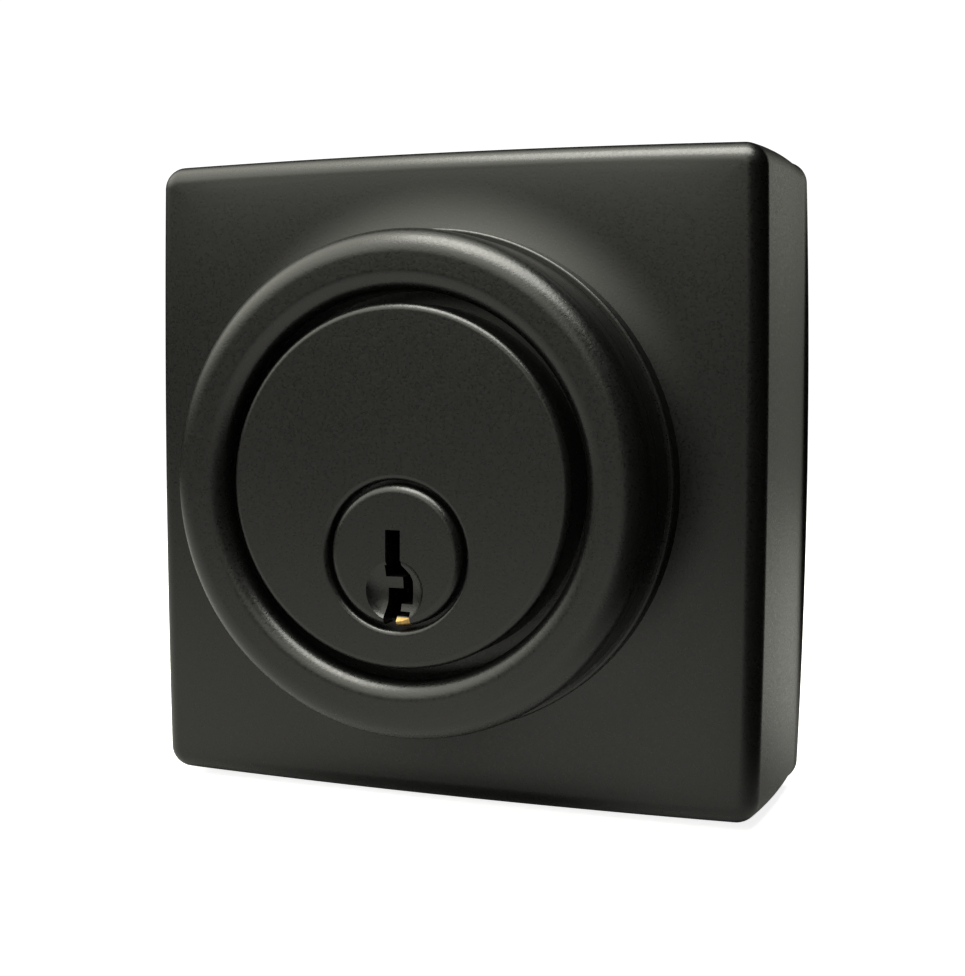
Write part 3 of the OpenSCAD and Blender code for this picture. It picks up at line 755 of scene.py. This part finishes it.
def calc(nodes, links, operation, *values):
    """A math node; each value is a number or another node's output."""
    node = nodes.new("ShaderNodeMath")
    node.operation = operation
    for value, socket in zip(values, node.inputs):
        if isinstance(value, (int, float)):
            socket.default_value = value
        else:
            links.new(value, socket)
    return node.outputs[0]


def bump(nodes, links, shader, sources):
    """Chains bumps: each source is a height output, its depth in millimetres and its strength."""
    last = None
    for height, depth_mm, strength in sources:
        node = nodes.new("ShaderNodeBump")
        node.inputs["Distance"].default_value = depth_mm * MM
        node.inputs["Strength"].default_value = strength
        links.new(height, node.inputs["Height"])
        if last:
            links.new(last, node.inputs["Normal"])
        last = node.outputs["Normal"]
    links.new(last, shader.inputs["Normal"])


BLACK_TONE = (0.0014, 0.0014, 0.0013)
BRASS_TONE = (0.46, 0.3, 0.11)
PAINT_GLOSS, GRAIN_MM = 0.3, 0.26
SMOOTH_GRAIN, ROUGH_GRAIN = 0.012, 0.03      # depth in mm


def paint_surface(nodes, links, shader, place, grain):
    """Fine grain of the given depth and a soft orange peel in the paint."""
    fine = noise(nodes, links, place, GRAIN_MM, 3, 0.6)
    links.new(ramp(nodes, links, fine, [(0.3, PAINT_GLOSS - 0.05), (0.7, PAINT_GLOSS + 0.07)]),
              shader.inputs["Roughness"])
    peel = noise(nodes, links, place, 1.3, 2)
    bump(nodes, links, shader, [(peel, 0.005, 0.5), (fine, grain, 0.6)])


def black_paint(name, grain):
    """Satin black paint with a slightly uneven tone."""
    mat, nodes, links, shader, place = material(name)
    broad = noise(nodes, links, place, 14, 3)
    dark = tuple(0.8 * c for c in BLACK_TONE)
    light = tuple(1.2 * c for c in BLACK_TONE)
    links.new(ramp(nodes, links, broad, [(0.3, dark), (0.7, light)]), shader.inputs["Base Color"])
    paint_surface(nodes, links, shader, place, grain)
    return mat


def band(nodes, links, source, low, high, soft):
    """1 between two values of the source and 0 outside, with soft ends."""
    rise = smooth_mask(nodes, links, source, low - soft, low + soft)
    fall = smooth_mask(nodes, links, source, high - soft, high + soft, 1.0, 0.0)
    return calc(nodes, links, "MULTIPLY", rise, fall)


def paint_over_brass(name):
    """The plug: black paint on its face and in its mouth, bare brass further in. The nose of the
    lowest ward is worn bare by keys."""
    mat, nodes, links, shader, place = material(name)
    split = nodes.new("ShaderNodeSeparateXYZ")
    links.new(place, split.inputs["Vector"])
    x, y, z = (split.outputs[axis] for axis in "XYZ")
    across = band(nodes, links, x, 0.12 * MM, 1.55 * MM, 0.05 * MM)
    up = band(nodes, links, z, (plug_z - 7) * MM, (plug_z - 5.95) * MM, 0.06 * MM)
    worn = calc(nodes, links, "MULTIPLY", across, up)
    deep = smooth_mask(nodes, links, y, -(plug_face - 5) * MM, -(plug_face - 6) * MM)
    bare = calc(nodes, links, "MAXIMUM", worn, deep)
    mottle = noise(nodes, links, place, 0.5, 3)
    brass = ramp(nodes, links, mottle, [(0.3, (0.3, 0.19, 0.07)), (0.7, BRASS_TONE)])
    mix = nodes.new("ShaderNodeMix")
    mix.data_type = "RGBA"
    links.new(bare, mix.inputs["Factor"])
    mix.inputs["A"].default_value = (*BLACK_TONE, 1)
    links.new(brass, mix.inputs["B"])
    links.new(mix.outputs["Result"], shader.inputs["Base Color"])
    links.new(bare, shader.inputs["Metallic"])
    paint_surface(nodes, links, shader, place, ROUGH_GRAIN)
    return mat


def bare_metal(name, tone, gloss, streak_mm=(0.25, 0.25, 3.0), depth_mm=0.002, blotch=0.12):
    """Bare or plated metal: marks stretched along one axis, and a mottled tone."""
    mat, nodes, links, shader, place = material(name)
    stretch = nodes.new("ShaderNodeMapping")
    for axis in range(3):
        stretch.inputs["Scale"].default_value[axis] = 1 / (streak_mm[axis] * MM)
    links.new(place, stretch.inputs["Vector"])
    marks = nodes.new("ShaderNodeTexNoise")
    marks.inputs["Scale"].default_value = 1.0
    marks.inputs["Detail"].default_value = 3.0
    links.new(stretch.outputs["Vector"], marks.inputs["Vector"])
    mottle = noise(nodes, links, place, 5, 3)
    dark = tuple(c * (1 - blotch) for c in tone)
    light = tuple(min(1.0, c * (1 + blotch)) for c in tone)
    links.new(ramp(nodes, links, mottle, [(0.3, dark), (0.7, light)]), shader.inputs["Base Color"])
    links.new(ramp(nodes, links, marks.outputs["Fac"], [(0.3, gloss - 0.06), (0.7, gloss + 0.1)]),
              shader.inputs["Roughness"])
    shader.inputs["Metallic"].default_value = 1.0
    bump(nodes, links, shader, [(marks.outputs["Fac"], depth_mm, 0.5)])
    return mat


BLACK = {slot: black_paint("satin_black_" + slot, grain) for slot, grain in
         (("rosette_black", SMOOTH_GRAIN), ("collar_black", SMOOTH_GRAIN),
          ("ring_black", ROUGH_GRAIN), ("cylinder_black", ROUGH_GRAIN))}
PLUG = paint_over_brass("painted_brass")
BRASS = bare_metal("machined_brass", (0.6, 0.4, 0.15), 0.28, (3.0, 0.2, 3.0))
ZINC = bare_metal("zinc_plated_steel", (0.5, 0.52, 0.54), 0.34, (1.2, 1.2, 1.2), 0.003)
SCREW = bare_metal("screw_steel", (0.42, 0.43, 0.44), 0.3, (0.6, 0.6, 0.6), 0.002)
PIN_STEEL = bare_metal("ground_steel", (0.5, 0.5, 0.51), 0.22, (2.0, 2.0, 0.15))
SPRING = bare_metal("spring_wire", (0.42, 0.42, 0.44), 0.3, (0.2, 0.2, 0.2))
HARD = bare_metal("hardened_steel", (0.2, 0.2, 0.22), 0.35, (0.3, 3.0, 0.3))


def finish_piece(obj, mat, body, slot, *nodes):
    """Gives a piece its material and its body, and hides the CAD nodes that it stands for; slot is
    not used.
    """
    obj.data.materials.clear()
    obj.data.materials.append(mat)
    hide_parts(*nodes)
    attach(obj, body)


finish_piece(make_rosette(), BLACK["rosette_black"], "lock_case", "rosette_black", "rosette")
finish_piece(make_collar(), BLACK["collar_black"], "lock_case", "collar_black", "guard_collar")
finish_piece(make_guard_ring(), BLACK["ring_black"], "guard_ring", "ring_black", "guard_ring")
finish_piece(make_cylinder_body(), BLACK["cylinder_black"], "lock_case", "cylinder_black",
             "cylinder_body")
finish_piece(make_plug(), PLUG, "plug_core", "plug_brass", "plug")

SLOT_MATERIALS = {
    "brass": BRASS, "pin_steel": PIN_STEEL, "spring_steel": SPRING, "hardened_steel": HARD,
    "zinc_steel": ZINC, "screw_steel": SCREW,
}
slot_of = {part["node"]: part["material_slot"] for part in frame["record"]["subparts"]}
for node, body, make in (
        ("backing_plate", "lock_case", make_backing_plate),
        ("mounting_posts", "lock_case", make_mounting_posts),
        ("body_screws", "lock_case", make_body_screws),
        ("plate_screws", "lock_case", make_plate_screws),
        ("plug_cap", "plug_core", make_plug_cap),
        ("tail_blade", "tail", make_tail_blade)):
    finish_piece(make(), SLOT_MATERIALS[slot_of[node]], body, slot_of[node], node)

# The pieces that stay hidden inside keep their CAD shape
for node, slot in slot_of.items():
    obj = frame["nodes"][node]
    if not obj.hide_render:
        obj.data.materials.clear()
        obj.data.materials.append(SLOT_MATERIALS[slot])


# ---------------------------------------------------------------- floor, light and camera
FLOOR_R, FLOOR_FADE, FLOOR_GLOW = 0.55, 0.12, 0.85
# Painted shade in the floor's reflections, to the lock's right: where it starts and ends, its slant
# and how dark it gets
REFLECTED_SHADE_START, REFLECTED_SHADE_END, REFLECTED_SHADE_SLANT, REFLECTED_SHADE_DARK = 0.02, 0.06, 0.6, 0.55
WALL_LIGHT, FRONT_LIGHT, SKY_LIGHT = 0.85, 0.05, 3.1
ROOM_TINT = (1.0, 1.0, 0.88)
WHITE = 1.1              # the surroundings as the camera sees them

# Where the reflected room changes, as a pair of values of a direction's x, y or z
GLOW_RISE, GLOW_SIDE, GLOW_BACK = (0.03, 0.5), (0.3, -0.05), (0.6, 0.0)
WALL_RISE, WALL_SLANT, WALL_BEHIND = (0.0, 0.14), (0.05, 0.3), (0.85, 0.95)
WALL_LOW, WALL_DIM = 0.45, 0.08


def make_stage():
    """A plain pale floor under the lowest edge, which fades into the white surroundings."""
    bm = bmesh.new()
    bmesh.ops.create_circle(bm, cap_ends=True, segments=96, radius=FLOOR_R)
    for vertex in bm.verts:
        vertex.co.z = cad_box[0].z
    floor = new_object("floor", bm)
    mat, nodes, links, shader, place = material("floor_white")
    path = nodes.new("ShaderNodeLightPath")
    split = nodes.new("ShaderNodeSeparateXYZ")
    links.new(place, split.inputs["Vector"])
    soft = noise(nodes, links, place, 400, 2)
    pale = ramp(nodes, links, soft, [(0.3, 0.79), (0.7, 0.81)])
    # Painted reflected shade: in glossy rays only, the floor turns darker to the lock's right,
    # standing in for a black card that is not there
    behind = calc(nodes, links, "MAXIMUM", split.outputs["Y"], 0.0)
    beside = calc(nodes, links, "MULTIPLY_ADD", behind, -REFLECTED_SHADE_SLANT, split.outputs["X"])
    painted_reflected_shade = smooth_mask(nodes, links, beside, REFLECTED_SHADE_START, REFLECTED_SHADE_END, REFLECTED_SHADE_DARK, 1.0)
    shade_off = calc(nodes, links, "MULTIPLY", path.outputs["Is Glossy Ray"], painted_reflected_shade)
    keep = calc(nodes, links, "SUBTRACT", 1.0, shade_off)
    toned = nodes.new("ShaderNodeVectorMath")
    toned.operation = "SCALE"
    links.new(pale, toned.inputs[0])
    links.new(keep, toned.inputs["Scale"])
    links.new(toned.outputs["Vector"], shader.inputs["Base Color"])
    shader.inputs["Roughness"].default_value = 0.9
    shader.inputs["Specular IOR Level"].default_value = 0.1
    shader.inputs["Emission Color"].default_value = (1, 1, 1, 1)
    glow = smooth_mask(nodes, links, path.outputs["Is Camera Ray"], 0.0, 1.0, 0.0, FLOOR_GLOW)
    links.new(glow, shader.inputs["Emission Strength"])
    reach = nodes.new("ShaderNodeVectorMath")
    reach.operation = "LENGTH"
    links.new(place, reach.inputs[0])
    fade = smooth_mask(nodes, links, reach.outputs["Value"], FLOOR_FADE, FLOOR_R, 1.0, 0.0)
    links.new(fade, shader.inputs["Alpha"])
    floor.data.materials.append(mat)


def area_light(name, place, aim, size, power, tint=(1.0, 1.0, 1.0)):
    data = bpy.data.lights.new(name, "AREA")
    data.shape = "RECTANGLE"
    data.size, data.size_y = size
    data.energy = power
    data.color = tint
    light = bpy.data.objects.new(name, data)
    light.location = place
    direction = Vector(aim) - Vector(place)
    light.rotation_euler = direction.to_track_quat("-Z", "Y").to_euler()
    bpy.context.scene.collection.objects.link(light)
    return light


def make_world():
    """White around the floor. What the lock reflects is a room with a bright wall behind it,
    a soft glow from the front and above, and a dark right side."""
    world = bpy.data.worlds.new("studio")
    bpy.context.scene.world = world
    world.use_nodes = True
    nodes, links = world.node_tree.nodes, world.node_tree.links
    nodes.clear()
    out = nodes.new("ShaderNodeOutputWorld")
    path = nodes.new("ShaderNodeLightPath")
    white = nodes.new("ShaderNodeBackground")
    white.inputs["Strength"].default_value = WHITE
    white.inputs["Color"].default_value = (1, 1, 1, 1)
    direction = nodes.new("ShaderNodeTexCoord")
    split = nodes.new("ShaderNodeSeparateXYZ")
    links.new(direction.outputs["Generated"], split.inputs["Vector"])
    x, y, z = (split.outputs[axis] for axis in "XYZ")
    glow = smooth_mask(nodes, links, z, *GLOW_RISE, FRONT_LIGHT, SKY_LIGHT)
    glow = calc(nodes, links, "MULTIPLY", glow, smooth_mask(nodes, links, x, *GLOW_SIDE))
    glow = calc(nodes, links, "MULTIPLY", glow, smooth_mask(nodes, links, y, *GLOW_BACK))
    wall = smooth_mask(nodes, links, z, *WALL_RISE, WALL_LOW * WALL_LIGHT, WALL_LIGHT)
    slant = smooth_mask(nodes, links, x, *WALL_SLANT, WALL_DIM, 1.0)
    wall = calc(nodes, links, "MULTIPLY", wall, slant)
    behind = smooth_mask(nodes, links, y, *WALL_BEHIND)
    light = calc(nodes, links, "MULTIPLY_ADD", wall, behind, glow)
    room = nodes.new("ShaderNodeBackground")
    room.inputs["Color"].default_value = (*ROOM_TINT, 1)
    links.new(light, room.inputs["Strength"])
    mix = nodes.new("ShaderNodeMixShader")
    links.new(path.outputs["Is Camera Ray"], mix.inputs["Fac"])
    links.new(room.outputs["Background"], mix.inputs[1])
    links.new(white.outputs["Background"], mix.inputs[2])
    links.new(mix.outputs["Shader"], out.inputs["Surface"])


def make_camera():
    """Stands a little to the right of the lock and looks slightly down on it."""
    azimuth, elevation, distance = math.radians(20.018), math.radians(3.631), 185.05
    pan, tilt, roll = math.radians(-0.983), math.radians(-0.72), math.radians(0.219)
    data = bpy.data.cameras.new("camera")
    data.lens = 59.61
    data.sensor_width = 36
    data.clip_start = 0.01
    place = point(distance * math.sin(azimuth) * math.cos(elevation),
                  distance * math.sin(elevation),
                  distance * math.cos(azimuth) * math.cos(elevation))
    forward = -place.normalized()
    right = forward.cross(Vector((0, 0, 1))).normalized()
    up = right.cross(forward)
    forward, right = (forward * math.cos(pan) + right * math.sin(pan),
                      right * math.cos(pan) - forward * math.sin(pan))
    forward, up = (forward * math.cos(tilt) + up * math.sin(tilt),
                   up * math.cos(tilt) - forward * math.sin(tilt))
    right, up = (right * math.cos(roll) + up * math.sin(roll),
                 up * math.cos(roll) - right * math.sin(roll))
    camera = bpy.data.objects.new("camera", data)
    turn = Matrix((right, up, -forward)).transposed().to_4x4()
    camera.matrix_world = Matrix.Translation(place) @ turn
    bpy.context.scene.collection.objects.link(camera)
    bpy.context.scene.camera = camera


make_stage()
make_world()
make_camera()
bpy.context.scene.view_settings.view_transform = "Standard"
centre = (0, -0.02, 0)
area_light("softbox", (0.02, -0.17, 0.4), centre, (0.36, 0.28), 3.4, (1.0, 0.995, 0.92))
